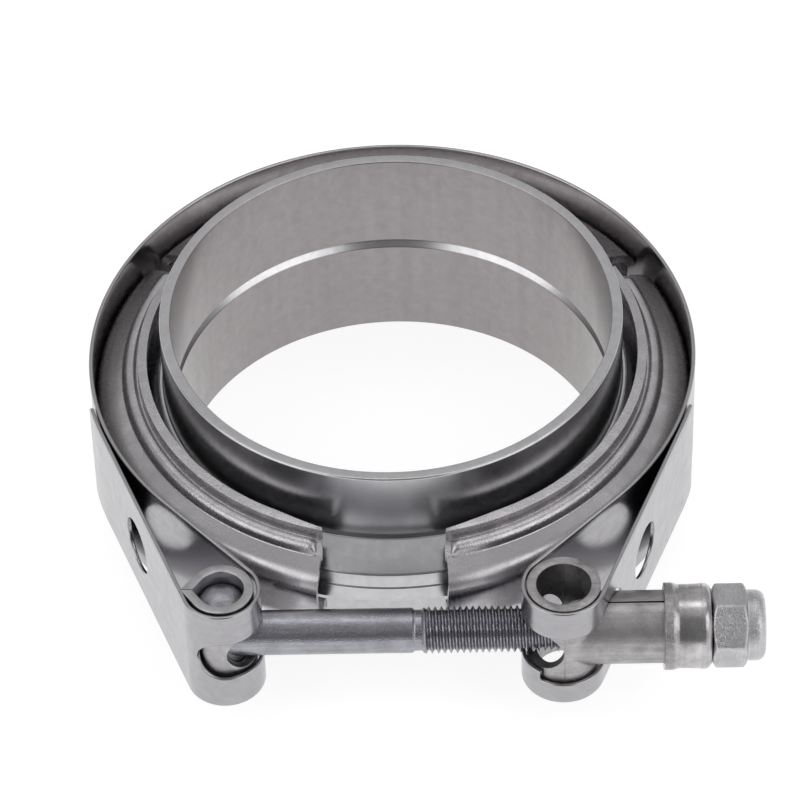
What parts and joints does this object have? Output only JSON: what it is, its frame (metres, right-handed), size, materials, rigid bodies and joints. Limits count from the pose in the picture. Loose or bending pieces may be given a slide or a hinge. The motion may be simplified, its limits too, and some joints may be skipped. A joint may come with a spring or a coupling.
{
  "type": "v band clamp",
  "caption": "Steel V-band pipe clamp: two weld-on flanges wedged together by a band with V retainers, drawn tight by a T-bolt and lock nut.",
  "frame": {"origin": "on the pipe bore's axis, in the plane where the two flanges meet", "axes": "+Z along the bore towards the upper flange, +X along the T-bolt towards the nut, -Y towards the T-bolt"},
  "size_m": [0.115, 0.116, 0.04],
  "materials": {
    "flange_steel": "turned, satin",
    "band_steel": "rolled strip, smooth",
    "retainer_steel": "pressed, slightly grainy",
    "bolt_steel": "forged shank, rolled thread",
    "sleeve_steel": "rolled sheet",
    "trunnion_steel": "folded sheet, satin",
    "collar_steel": "drawn cup, burnished",
    "nut_steel": "bright, grainy flats",
    "nylon": "moulded nylon"
  },
  "bodies": {
    "base": {"lower_flange": "flange_steel"},
    "upper": {"upper_flange": "flange_steel"},
    "rear": {"band_rear": "band_steel", "retainer_rear": "retainer_steel"},
    "left_arm": {"band_left": "band_steel", "retainer_left": "retainer_steel"},
    "right_arm": {"band_right": "band_steel", "retainer_right": "retainer_steel"},
    "bolt": {"t_bolt": "bolt_steel", "bolt_sleeve": "sleeve_steel"},
    "trunnion": {"trunnion": "trunnion_steel"},
    "cup": {"cup_collar": "collar_steel"},
    "nut": {"lock_nut": "nut_steel", "nylon_ring": "nylon"}
  },
  "joints": [
    {"name": "upper_flange_turn", "type": "hinge", "parent": "base", "child": "upper", "pos_m": [0, 0, 0], "axis": [0, 0, 1], "continuous": true},
    {"name": "clamp_turn", "type": "hinge", "parent": "base", "child": "rear", "pos_m": [0, 0, 0], "axis": [0, 0, 1], "continuous": true},
    {"name": "left_arm_open", "type": "hinge", "parent": "rear", "child": "left_arm", "pos_m": [-0.04478, 0.02798, 0], "axis": [0, 0, -1], "range_deg": [-1.3, 2]},
    {"name": "right_arm_open", "type": "hinge", "parent": "rear", "child": "right_arm", "pos_m": [0.04478, 0.02798, 0], "axis": [0, 0, 1], "range_deg": [-1.3, 2]},
    {"name": "t_bolt_swing", "type": "hinge", "parent": "left_arm", "child": "bolt", "pos_m": [-0.0285, -0.0559, 0], "axis": [0, 0, 1], "range_deg": [-1.3, 2]},
    {"name": "trunnion_swing", "type": "hinge", "parent": "right_arm", "child": "trunnion", "pos_m": [0.0285, -0.0559, 0], "axis": [0, 0, -1], "range_deg": [-1.3, 2]},
    {"name": "cup_slide", "type": "slide", "parent": "bolt", "child": "cup", "axis": [1, 0, 0], "range_m": [-0.00371, 0.00583]},
    {"name": "lock_nut_turn", "type": "hinge", "parent": "cup", "child": "nut", "pos_m": [0.05333, -0.0559, 0], "axis": [1, 0, 0], "range_deg": [-1260, 1980]}
  ],
  "couplings": [
    {"joint": "cup_slide", "follows": "lock_nut_turn", "m_per_rad": 0.00016844},
    {"joint": "left_arm_open", "follows": "lock_nut_turn", "ratio": 0.0010009},
    {"joint": "right_arm_open", "follows": "lock_nut_turn", "ratio": 0.0010009},
    {"joint": "t_bolt_swing", "follows": "lock_nut_turn", "ratio": 0.0010009},
    {"joint": "trunnion_swing", "follows": "lock_nut_turn", "ratio": 0.0010009}
  ]
}
